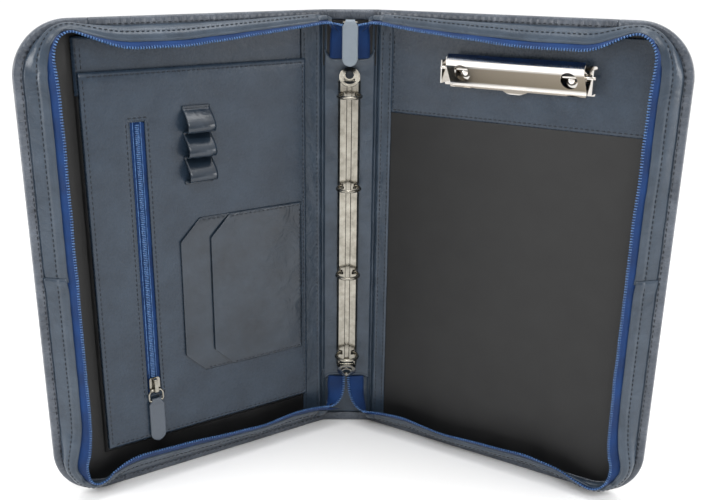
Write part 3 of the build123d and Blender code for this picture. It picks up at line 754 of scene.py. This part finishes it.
def tooth_row(side, teeth, other):
    """The coil: a bead across the tape's edge every 2.1 mm."""
    a = np.array([list(place(side, *p)) for p in teeth])
    b = np.array([list(place(side, *p)) for p in other])
    runs = np.concatenate([[0], np.cumsum(np.linalg.norm(np.diff(a, axis=0), axis=1))]) / MM
    verts, faces = [], []
    sides = 6
    for distance in np.arange(1.0, runs[-1] - 1, 2.1):
        p = Vector([float(np.interp(distance, runs, a[:, k])) for k in range(3)])
        q = Vector([float(np.interp(distance + 0.3, runs, a[:, k])) for k in range(3)])
        other_edge = Vector([float(np.interp(distance, runs, b[:, k])) for k in range(3)])
        way = (q - p).normalized()
        across = (p - other_edge).normalized()
        thick = way.cross(across).normalized()
        base = len(verts)
        for t, r in ((-1.5, 0.3), (-1.1, 0.62), (0.2, 0.66), (0.9, 0.62), (1.3, 0.25)):
            for k in range(sides):
                angle = math.tau * k / sides
                spoke = way * 0.95 * math.cos(angle) + thick * 1.5 * math.sin(angle)
                verts.append(p + (across * t + spoke * r) * MM)
        faces += tube_faces(base, 5, sides)
    mesh = bpy.data.meshes.new(f"{side_name[side]}_teeth")
    mesh.from_pydata(verts, [], faces)
    piece = finish_object(mesh.name, mesh, coil_blue)
    ride_or_bend(piece, "fold")
    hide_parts(f"{side_name[side]}_zip_coil")


def gusset_profile(side, s):
    """Points from the gusset's foot to its seam, bulging outwards where it has length to spare."""
    foot = (binding_width - 1.0, foot_n)
    top = (seam(side, s) - 0.3, seam_n + 0.9)
    chord = math.hypot(top[0] - foot[0], top[1] - foot[1])
    bulge = math.sqrt(max(0.375 * (16.5 - chord) * chord, 0.05))
    run, rise = (top[0] - foot[0]) / chord, (top[1] - foot[1]) / chord
    points = []
    for k in range(12):
        t = k / 11
        out = bulge * math.sin(math.pi * t) * (1 - 0.3 * t)
        stitched = -0.5 * math.exp(-((t - 0.62) / 0.05) ** 2) + 0.45 * math.exp(-((t - 0.8) / 0.12) ** 2)
        out += stitched
        points.append((foot[0] + run * chord * t - rise * out, foot[1] + rise * chord * t + run * out))
    fold = (top[0] + 0.5 * run, top[1] + 0.4)
    tuck = (top[0] + 0.9, top[1] - 0.7)
    return points + [fold, tuck]


def gussets(side):
    name = side_name[side]
    middle = outline_length / 2
    for part, start, stop in (("lower", 14.0, middle + 3.0), ("upper", middle, outline_length - 14.0)):
        rows = []
        for s in np.arange(start, stop + 0.1, (stop - start) / round((stop - start) / 2.6)):
            row = []
            near = abs(s - middle)
            for k, (inset, n) in enumerate(gusset_profile(side, s)):
                ripple = 0.22 * wave(s, 3 * k, 14, 7 + side) + (0.5 * corner_weight(s) * wave(s, 5 * k, 7, 2.0))
                over = 0.75 if part == "upper" else -0.75
                lap = -over * math.exp(-(near / 5.0) ** 2)
                u, z, du, dz = outline(s)
                inset -= ripple + lap
                row.append(place(side, u + du * inset, z + dz * inset, n))
            rows.append(row if side > 0 else row[::-1])
        piece = grid_piece(f"{name}_{part}_wall", rows, navy_worn, 1.0, True)
        ride_or_bend(piece, cover_body[side])
        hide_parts(f"{name}_{part}_gusset")
        line = []
        for s in np.arange(start + 3, stop - 2, 3.0):
            inset, n = gusset_profile(side, s)[7]
            u, z, du, dz = outline(s)
            line.append((u + du * (inset - 1.35), z + dz * (inset - 1.35), n + 0.75))
        stitches(f"{name}_{part}_wall_stitches", side, line, cover_body[side], 2.6, 1.4, 0.33)


def gusset_ends(side):
    """The gusset's leather where it crosses the fold and ends on the spine, above and below."""
    name = side_name[side]
    for where in ("top", "bottom"):
        top = where == "top"
        edge = list(top_edge)[4:] if top else list(bottom_edge[side])[3:]
        s = outline_length - 14.0 if top else 14.0
        profile = gusset_profile(side, s)
        join = [Vector((14.0, (height - inset) if top else inset, n)) for inset, n in profile[:12]]
        rows = []
        foot_z = height - binding_width - 0.5 if top else binding_width + 0.5
        for p in smooth_line(edge[:-1], 4):
            foot = Vector((p.x - 1.0, foot_z, foot_n))
            goal = Vector((p.x, p.y + (0.8 if top else -0.8), p.z + 0.6))
            chord = (goal - foot).length
            bulge = math.sqrt(max(0.375 * (14 - chord) * chord, 0.05))
            row = []
            for k in range(12):
                t = k / 11
                q = foot.lerp(goal, t)
                q.y += bulge * math.sin(math.pi * t) * (1 if top else -1) * 0.8
                q.z += bulge * 0.4 * math.sin(math.pi * t)
                row.append(q)
            rows.append(row)
        rows.append(join)
        rows = [[place(side, q.x, min(max(q.y, 0.5), height - 0.5), q.z) for q in row] for row in rows]
        flip = (side > 0) == top
        rows = [row[::-1] if flip else row for row in rows]
        piece = grid_piece(f"{name}_{where}_wall_end", rows, navy_worn, 1.0, True)
        ride_or_bend(piece, "fold")


# ------------------------------------------------------------------ spine inside
def spine_inside():
    """The creased leather panel under the rings, the leather behind the zip's bottom end, and a black cloth sheet
    behind its top end that is painted shade for the slot's mouth.
    """
    low, high = 48.0, 344.0
    rows, uv = [], []
    zs = spread(low, high, 4.0)
    xs = list(np.arange(-21.0, 21.1, 1.0))
    for z in zs:
        row = []
        for x in xs:
            edge = min(z - low, high - z)
            crumple = 0.55 * wave(x, z, 16, 1.3) + 0.3 * wave(x, z, 7, 2.3)
            n = panel_n + 0.5 - edge_fall(edge, 2.0, 0.6) + crumple * min(1, max(0, (abs(x) - 9.5) / 3))
            n += 0.7 * math.exp(-((edge - 1.8) / 1.3) ** 2)
            curl = 9.0 * max(0.0, (abs(x) - 12.5) / 8.5) ** 2 * math.exp(-edge / 9)
            z_here = z + curl if z > (low + high) / 2 else z - curl * 0.5
            row.append(Vector((x, back_y - n, z_here)) * MM)
            uv.append((x * MM, z * MM))
        rows.append(row)
    piece = grid_piece("spine_panel", rows, navy_worn, 1.0, True, uv=uv)
    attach(piece, "spine")
    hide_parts("ring_panel")
    for where, start, stop in (("top", high - 6, height - 7.5), ("bottom", 7.5, low + 6)):
        rows = []
        for z in np.arange(start, stop + 0.1, (stop - start) / 16):
            rows.append([Vector((x * 1.06, back_y - (3.75 + 0.3 * wave(x, z, 8, 5)), z)) * MM for x in xs])
        # At the top the black cloth is painted shade for the dark slot mouth; at the bottom the recess is leather.
        material = black_cloth if where == "top" else navy_worn
        piece = grid_piece(f"spine_{where}_recess", rows, material, 0.8, True)
        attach(piece, "spine")
        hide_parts("spine_lining")


def inner_folds(side):
    """The leather from the spine's panel, down into the fold's groove and up on to the cover."""
    name = side_name[side]
    far = 23.4 if side < 0 else 17.6
    us = list(np.arange(-3.4, far - 0.01, 0.7)) + [far]
    zs = spread(9.0, height - 9.0, 5.0)

    def lift(u, z):
        dip = 3.0 * math.exp(-((u - 1.0) / 2.6) ** 2)
        ridge = 0.5 * math.exp(-((u - 6.5) / 1.5) ** 2)
        fall = edge_fall(far - u, 1.6, 0.5)
        return panel_n + 0.3 - dip + ridge - fall + 0.22 * wave(u, z, 11, side) + 0.1 * wave(u, z, 4, side)

    piece = panel(f"{name}_fold_strip", side, us, zs, lift, navy_worn, 0.9, "fold")
    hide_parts(f"{name}_hinge_strip")
    for u in ((8.6, 20.8) if side < 0 else (8.6, 15.2)):
        line = [(u, z, lift(u, z) + 0.15) for z in np.arange(14, height - 14, 4.0)]
        stitches(f"{name}_fold_stitches_{int(u)}", side, line, cover_body[side])


# ------------------------------------------------------------------ inside of the covers
def lining(side):
    name = side_name[side]
    us = spread(5.2, cover_width - 7, 7.0)
    zs = tall_lines(7.0, 7.0)

    def lift(u, z):
        return lining_n + 0.1 + 0.22 * wave(u, z, 45, 2 + side) + 0.06 * wave(u, z, 12, 9)

    piece = panel(f"{name}_lining_cloth", side, us, zs, lift, black_cloth, 0.8, cover_body[side],
                  end=corner_end(7.0))
    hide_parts(f"{name}_lining")


def document_pocket():
    us, zs = spread(26, 215, 6.0), spread(33, 362.6, 6.0)

    def lift(u, z):
        edge = min(215 - u, z - 33)
        return 7.0 - edge_fall(edge, 3.0, 1.6) + 0.35 * wave(u, z, 60, 5)

    piece = panel("document_pocket_front", -1, us, zs, lift, black_cloth, 0.9, "left_cover")
    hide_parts("document_pocket")
    band_top = 371.5
    band = spread(329, band_top, 2.5)

    def band_lift(u, z):
        edge = min(215 - u, band_top - z, z - 329)
        sag = 0.35 * wave(u, 0, 50, 8)
        return 8.1 - edge_fall(edge, 1.8, 0.7) + sag

    trim = panel("document_pocket_band", -1, us, band, band_lift, navy_smooth, 1.0, "left_cover")
    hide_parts("document_pocket_trim")
    seam_z = 331.6
    line = [(u, seam_z, band_lift(u, seam_z) + 0.1) for u in np.arange(27, 213, 4.0)]
    stitches("pocket_band_stitches_0", -1, line, "left_cover")
    for row, u in enumerate((212.4, 209.0)):
        line = [(u, z, lift(u, z) + 0.1) for z in np.arange(36, 328, 4.0)]
        stitches(f"pocket_side_stitches_{row}", -1, line, "left_cover")
        line = [(u, z, band_lift(u, z) + 0.1) for z in np.arange(331, 370, 4.0)]
        stitches(f"pocket_band_side_stitches_{row}", -1, line, "left_cover")


def leaf_lift(u, z):
    edge = min(u - leaf_u[0], leaf_u[1] - u, z - leaf_z[0], leaf_z[1] - z)
    opening = max(abs(u - slot_u) - slot_half, slot_z[0] - z, z - slot_z[1])
    n = leaf_n + 0.25 - edge_fall(edge, 2.0, 0.8) + 0.5 * wave(u, z, 80, 6) + 0.12 * wave(u, z, 24, 16)
    if opening > 0:
        n -= edge_fall(opening, 1.2, 0.5)
    for distance in (abs(edge - 3.0), abs(opening - 2.2)):
        n -= 0.16 * math.exp(-(distance / 0.8) ** 2)
    return n


def leaf():
    us = sorted(set(spread(leaf_u[0], leaf_u[1], 5.0, (slot_u - slot_half, slot_u + slot_half), 3.0, 0.7)
                    + [slot_u - slot_half, slot_u + slot_half]))
    zs = sorted(set(spread(leaf_z[0], leaf_z[1], 5.0, slot_z, 3.0, 0.7) + list(slot_z)))

    def in_slot(u0, z0, u1, z1):
        return (abs((u0 + u1) / 2 - slot_u) < slot_half) and slot_z[0] < (z0 + z1) / 2 < slot_z[1]

    piece = panel("leaf_face", -1, us, zs, leaf_lift, navy_smooth, 1.1, "leaf", skip=in_slot, skirt=9.2)
    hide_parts("leaf_front")
    back_us, back_zs = spread(*leaf_u, 6.0), spread(*leaf_z, 6.0)

    def back_lift(u, z):
        return 9.5 + 0.1 * wave(u, z, 50, 1)

    back = panel("leaf_rear", -1, back_us, back_zs, back_lift, navy, 0.9, "leaf")
    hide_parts("leaf_back")
    inset = 3.0
    low_u, high_u, low_z, high_z = leaf_u[0] + inset, leaf_u[1] - inset, leaf_z[0] + inset, leaf_z[1] - inset
    around = {
        "inner": [(low_u, z) for z in np.arange(low_z, high_z, 4)],
        "outer": [(high_u, z) for z in np.arange(low_z, high_z, 4)],
        "top": [(u, high_z) for u in np.arange(low_u, high_u, 4)],
        "bottom": [(u, low_z) for u in np.arange(low_u, high_u, 4)],
    }
    gap = 2.2
    left, right = slot_u - slot_half - gap, slot_u + slot_half + gap
    around["zip_left"] = [(right, z) for z in np.arange(slot_z[0] - gap, slot_z[1] + gap, 4)]
    around["zip_right"] = [(left, z) for z in np.arange(slot_z[0] - gap, slot_z[1] + gap, 4)]
    around["zip_top"] = [(left, slot_z[1] + gap), (right, slot_z[1] + gap)]
    around["zip_bottom"] = [(left, slot_z[0] - gap), (right, slot_z[0] - gap)]
    for where, line in around.items():
        stitches(f"leaf_stitches_{where}", -1, [(u, z, leaf_lift(u, z) + 0.15) for u, z in line], "leaf")


def pocket_zip():
    us = list(np.arange(slot_u - 12, slot_u + 12.1, 1.0))
    zs = spread(slot_z[0] - 6, slot_z[1] + 6, 4.0)

    def lift(u, z):
        return 10.95 + 0.1 * wave(u, z, 9, 4)

    tape = panel("pocket_tape", -1, us, zs, lift, blue_tape, 0.4, "leaf")
    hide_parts("pocket_zip_tape")
    verts, faces = [], []
    turns, sides = int((slot_z[1] - slot_z[0] - 3) / 1.5), 6
    for i in range(turns):
        z = slot_z[0] + 2 + i * 1.5
        base = len(verts)
        for t, r in ((-1.9, 0.25), (-1.5, 0.55), (0.0, 0.62), (1.5, 0.55), (1.9, 0.25)):
            for k in range(sides):
                angle = math.tau * k / sides
                rise, out = r * 0.95 * math.cos(angle), r * 1.15 * math.sin(angle)
                verts.append(place(-1, slot_u + t, z + rise, 12.0 + out))
        faces += tube_faces(base, 5, sides)
    for offset in (-3.1, 3.1):
        low, high = slot_z[0] - 3, slot_z[1] + 3
        steps = 60
        for i in range(steps + 1):
            z = low + (high - low) * i / steps
            for k in range(sides):
                angle = math.tau * k / sides
                along = slot_u + offset + 0.45 * math.cos(angle)
                verts.append(place(-1, along, z, 11.1 + 0.5 * math.sin(angle)))
        base = len(verts) - (steps + 1) * sides
        faces += tube_faces(base, steps + 1, sides)
    mesh = bpy.data.meshes.new("pocket_teeth")
    mesh.from_pydata(verts, [], faces)
    piece = finish_object("pocket_teeth", mesh, coil_blue)
    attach(piece, "leaf")
    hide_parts("pocket_zip_coil")


def card_pocket(name, node, far, base_n):
    """A card pocket whose outer corners are cut off; it lies on what is behind it along its sewn edges."""
    low, high, near, cut = 89.0, 225.0, 30.0, 18.0
    zs = spread(low, high, 4.0, (low + cut, high - cut))
    us = spread(near, far, 4.0)

    def end(z):
        return far - max(0.0, cut - (z - low), cut - (high - z))

    def lift(u, z):
        inside = min(z - low, high - z, u - near)
        out = end(z) - u
        away = min(1.0, max(0.0, min(inside, out) / 6.0))
        swell = 0.5 * wave(u, z, 34, far) + 0.22 * wave(u, z, 13, far + 4)
        gape = 1.1 * math.exp(-out / 9) * min(1.0, max(0.0, inside / 8))
        return base_n + 1.3 - edge_fall(inside, 1.6, 0.7) + swell * away + gape

    piece = panel(name, -1, us, zs, lift, navy_gloss, 1.0, "leaf", end=end)
    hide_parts(node)
    seams = (((near + 2, low + 2.2), (far - cut, low + 2.2)), ((near + 2, high - 2.2), (far - cut, high - 2.2)),
             ((near + 2.2, low + 4), (near + 2.2, high - 4)))
    for k, ((u0, z0), (u1, z1)) in enumerate(seams):
        steps = max(2, int(math.hypot(u1 - u0, z1 - z0) / 4))
        line = [(u0 + (u1 - u0) * i / steps, z0 + (z1 - z0) * i / steps) for i in range(steps + 1)]
        stitches(f"{name}_stitches_{k}", -1, [(u, z, lift(u, z) + 0.12) for u, z in line], "leaf")


def pen_loops():
    """One strip of leather, sewn flat between three loops that stand out from the leaf."""
    top, pitch, near, far = 313.0, 19.5, 112.0, 135.0
    face, reach = leaf_n + 0.6, leaf_n + 12.3
    section = [(316.0, face + 0.3)]
    for k in range(3):
        z = top - k * pitch
        section += [(z, face + 0.4), (z - 2.6, face + 3.4), (z - 6.2, reach - 4.2), (z - 10.0, reach - 0.9),
                    (z - 13.2, reach), (z - 15.6, reach - 1.6), (z - 16.4, reach - 5.0), (z - 16.4, face + 3.0),
                    (z - 16.9, face + 0.5), (z - 18.2, face + 0.2)]
    section.append((254.0, face + 0.2))
    profile = smooth_line([(z, n, 0) for z, n in section], 4)
    rows = []
    for i in range(15):
        u = near + (far - near) * i / 14
        edge = min(u - near, far - u)
        row = []
        for p in profile:
            out = p.y - face
            slack = 1 - 0.05 * math.exp(-(edge / 3.0) ** 2)
            z = p.x + 0.25 * wave(u, p.x, 14, 3)
            row.append(place(-1, u, z, face + out * slack + 0.15 * wave(u, p.x, 9, 8)))
        rows.append(row)
    piece = grid_piece("pen_loop_strip", rows, navy_gloss, 1.1, True)
    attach(piece, "leaf")
    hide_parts("pen_loops")
    for k in range(4):
        z = top - k * pitch + 1.4
        line = [(u, z, face + 1.0) for u in (near + 1, near + 12, far - 1)]
        stitches(f"pen_loop_stitches_{k}", -1, line, "leaf", radius=0.45)


def clip_band():
    near = 16.6
    us, zs = spread(near, 243.5, 6.0), spread(band_z, 371.5, 3.5)

    def lift(u, z):
        turned = edge_fall(z - band_z, 2.2, 0.8) + edge_fall(u - near, 2.0, 0.6)
        return panel_n + 0.35 - turned + 0.3 * wave(u, z, 55, 12) + 0.08 * wave(u, z, 18, 2)

    piece = panel("right_band", 1, us, zs, lift, navy_smooth, 1.0, "right_cover", end=corner_end(12.0))
    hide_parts("clip_band")
    seam_u, seam_z = near + 2.8, band_z + 2.8
    line = [(u, seam_z, lift(u, seam_z) + 0.15) for u in np.arange(19, 241, 4.0)]
    stitches("right_band_stitches", 1, line, "right_cover")
    line = [(seam_u, z, lift(seam_u, z) + 0.15) for z in np.arange(303, 370, 4.0)]
    stitches("right_band_side_stitches", 1, line, "right_cover")


# ------------------------------------------------------------------ leather pulls
def pull(name, node, body, at, across, down, out, length, material, width=6.6):
    """A folded leather pull: a loop round the ring's bar, then a flat tongue with a rounded end."""
    loop = 2.1
    outline_points = []
    steps = 40
    for i in range(steps + 1):
        t = i / steps
        y = -loop + (length + loop) * t
        if y < 3.5:
            half = 3.9 + (width - 3.9) * max(0.0, min(1.0, (y + 0.5) / 4.0)) ** 0.8
        elif y > length - 6.5:
            half = width - 6.5 + math.sqrt(max(0.0, 6.5 ** 2 - (y - length + 6.5) ** 2))
        else:
            half = width
        outline_points.append((y, max(half, 0.6)))
    rows = []
    for y, half in outline_points:
        row = []
        thick = 1.25 if y > 2.5 else 1.25 + 0.75 * math.sqrt(max(0.0, 1 - ((y - 0.2) / 2.3) ** 2))
        if y < -1.2:
            thick *= max(0.25, 1 + (y + 1.2) * 0.8)
        for k in range(20):
            angle = math.tau * k / 20
            c, s = math.cos(angle), math.sin(angle)
            x = half * math.copysign(abs(c) ** 0.35, c)
            z = thick * math.copysign(abs(s) ** 0.7, s)
            row.append(at + (across * x + down * y + out * z) * MM)
        rows.append(row)
    piece = grid_piece(name, rows, material, loop=True)
    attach(piece, body)
    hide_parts(node)


def pulls():
    joint = joints["main_pull_swing"]
    down = Vector((0, 0, -1))
    pull("main_pull_tab", "main_pull", "main_pull", Vector(joint["pos_m"]), Vector((1, 0, 0)), down,
         Vector((0, -1, 0)), 36.0, main_pull_leather)
    joint = joints["pocket_pull_swing"]
    across = Vector((math.cos(fold_angle), math.sin(fold_angle), 0))
    out = Vector((math.sin(fold_angle), -math.cos(fold_angle), 0))
    pull("pocket_pull_tab", "pocket_pull", "pocket_pull", Vector(joint["pos_m"]), across, down, out,
         37.1, pocket_pull_leather)


# ------------------------------------------------------------------ CAD pieces that stay
node_materials = {
    "nickel": nickel, "chrome": chrome, "spring_steel": spring_steel, "board": greyboard,
    "zip_tape": blue_tape, "zip_coil": coil_blue, "leather": navy, "lining": black_cloth,
}

# The clip's jaw takes its painted highlight and painted reflection bands.
own_materials = {"clip_jaw": jaw_metal_painted_reflections()}


def dress_nodes():
    for part in frame["record"]["subparts"]:
        piece = frame["nodes"][part["node"]]
        for slot in piece.material_slots:
            slot.material = own_materials.get(part["node"], node_materials[part["material_slot"]])


dress_nodes()
for cover in (-1, 1):
    outer_leather(cover)
    bindings(cover)
    zip_tape(cover)
    gussets(cover)
    gusset_ends(cover)
    inner_folds(cover)
    lining(cover)
spine_edges()
spine_inside()
document_pocket()
leaf()
pocket_zip()
card_pocket("rear_card_pocket", "card_pocket_back", 142.0, leaf_n)
card_pocket("front_card_pocket", "card_pocket_front", 116.0, leaf_n + 1.2)
pen_loops()
clip_band()
pulls()
